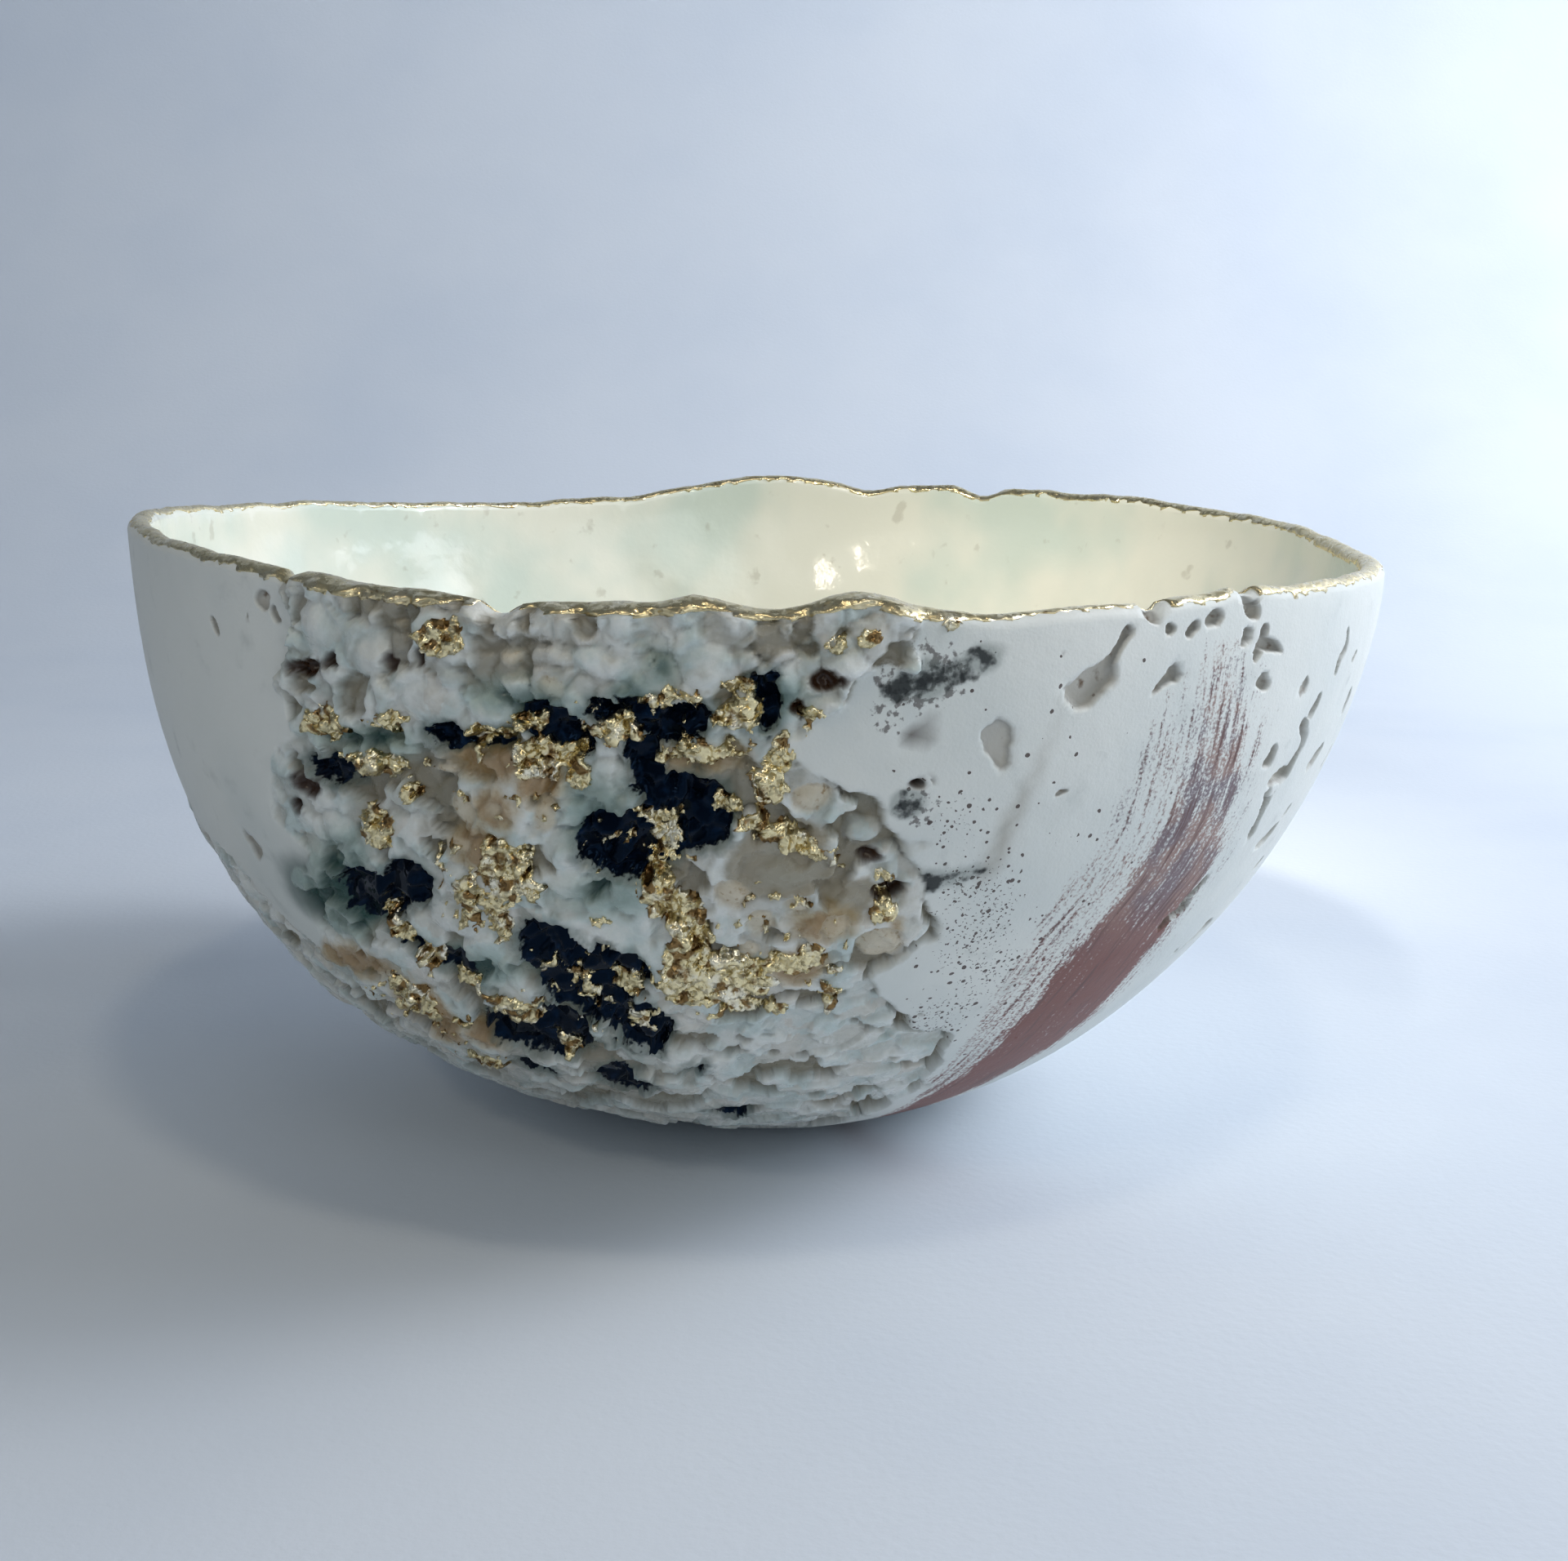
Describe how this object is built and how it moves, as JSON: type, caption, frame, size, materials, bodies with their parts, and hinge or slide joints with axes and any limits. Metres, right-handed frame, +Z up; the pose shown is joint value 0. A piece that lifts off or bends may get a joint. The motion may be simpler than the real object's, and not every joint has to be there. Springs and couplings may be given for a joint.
{
  "type": "bowl",
  "caption": "Thin handmade porcelain bowl, nearly half-round, with a wavy torn lip, a sunken patch of lumpy fused glaze on its front, round pits and a small flat foot.",
  "frame": {"origin": "middle of the flat ground foot, on the table", "axes": "+Z up through the open mouth; the glaze patch on the front faces -Y; +X is to the right seen from the front"},
  "size_m": [0.1602, 0.1606, 0.0791],
  "materials": {
    "porcelain": "satin white porcelain skin outside, glossy ivory glaze inside, brushed red-brown oxide and dark pooled glaze on the front",
    "gold_lustre": "fired gold lustre along the lip and crumpled gold leaf on the glaze patch"
  },
  "bodies": {
    "root": {"bowl": "porcelain"}
  },
  "joints": []
}
